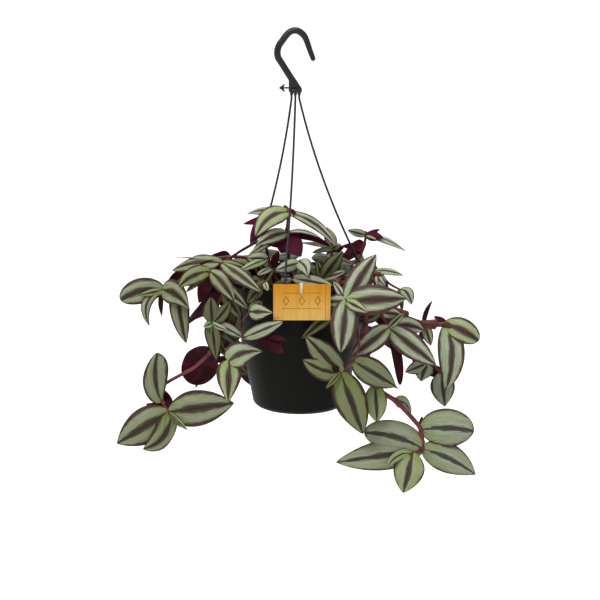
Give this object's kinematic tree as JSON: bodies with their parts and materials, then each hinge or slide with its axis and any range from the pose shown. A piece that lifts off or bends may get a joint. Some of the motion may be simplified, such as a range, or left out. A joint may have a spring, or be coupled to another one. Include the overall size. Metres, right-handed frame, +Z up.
{
  "type": "hanging basket plant",
  "caption": "Trailing striped-leaf plant in a round tapered pot with thin rods rising to a plastic hook, small card clipped to the rim",
  "frame": {"origin": "seat inside the hook's top bend, where the rail it hangs from touches it", "axes": "+Z up along the hanging direction, +X to the viewer's right as the label faces the viewer, +Y to the back"},
  "size_m": [0.3562, 0.2211, 0.4459],
  "materials": {
    "pot_plastic": "black polypropylene, satin from the mould, finely ribbed round",
    "potting_soil": "moist peat-based potting mix",
    "hanger_plastic": "black polypropylene, satin from the mould",
    "label_card_stock": "coated card printed with a plain wood grain",
    "label_clip_plastic": "translucent natural plastic",
    "leaf_and_stem": "silver-green leaves with purple-brown bands, maroon undersides, pink to brown stems"
  },
  "bodies": {
    "root": {"hanger_hook": "hanger_plastic", "hanger_strand_front": "hanger_plastic", "hanger_strand_left": "hanger_plastic", "hanger_strand_right": "hanger_plastic", "label_card": "label_card_stock", "label_clip": "label_clip_plastic", "pot": "pot_plastic", "shoot_back_far_left": "leaf_and_stem", "shoot_back_far_right": "leaf_and_stem", "shoot_back_left": "leaf_and_stem", "shoot_back_middle": "leaf_and_stem", "shoot_back_right": "leaf_and_stem", "shoot_centre_right": "leaf_and_stem", "shoot_centre_small": "leaf_and_stem", "shoot_crown_back": "leaf_and_stem", "shoot_crown_back_left": "leaf_and_stem", "shoot_crown_back_right": "leaf_and_stem", "shoot_crown_centre": "leaf_and_stem", "shoot_crown_front": "leaf_and_stem", "shoot_crown_front_left": "leaf_and_stem", "shoot_crown_left": "leaf_and_stem", "shoot_crown_outer_left": "leaf_and_stem", "shoot_crown_outer_right": "leaf_and_stem", "shoot_crown_right": "leaf_and_stem", "shoot_front_left": "leaf_and_stem", "shoot_front_low": "leaf_and_stem", "shoot_front_right": "leaf_and_stem", "shoot_left_far": "leaf_and_stem", "shoot_left_inner": "leaf_and_stem", "shoot_left_low": "leaf_and_stem", "shoot_left_rosette": "leaf_and_stem", "shoot_left_upper": "leaf_and_stem", "shoot_right_back": "leaf_and_stem", "shoot_right_behind": "leaf_and_stem", "shoot_right_far": "leaf_and_stem", "shoot_right_low": "leaf_and_stem", "shoot_right_mid": "leaf_and_stem", "shoot_right_upper": "leaf_and_stem", "shoot_top_left": "leaf_and_stem", "shoot_top_right": "leaf_and_stem", "shoot_top_tall": "leaf_and_stem", "soil": "potting_soil"}
  },
  "joints": []
}
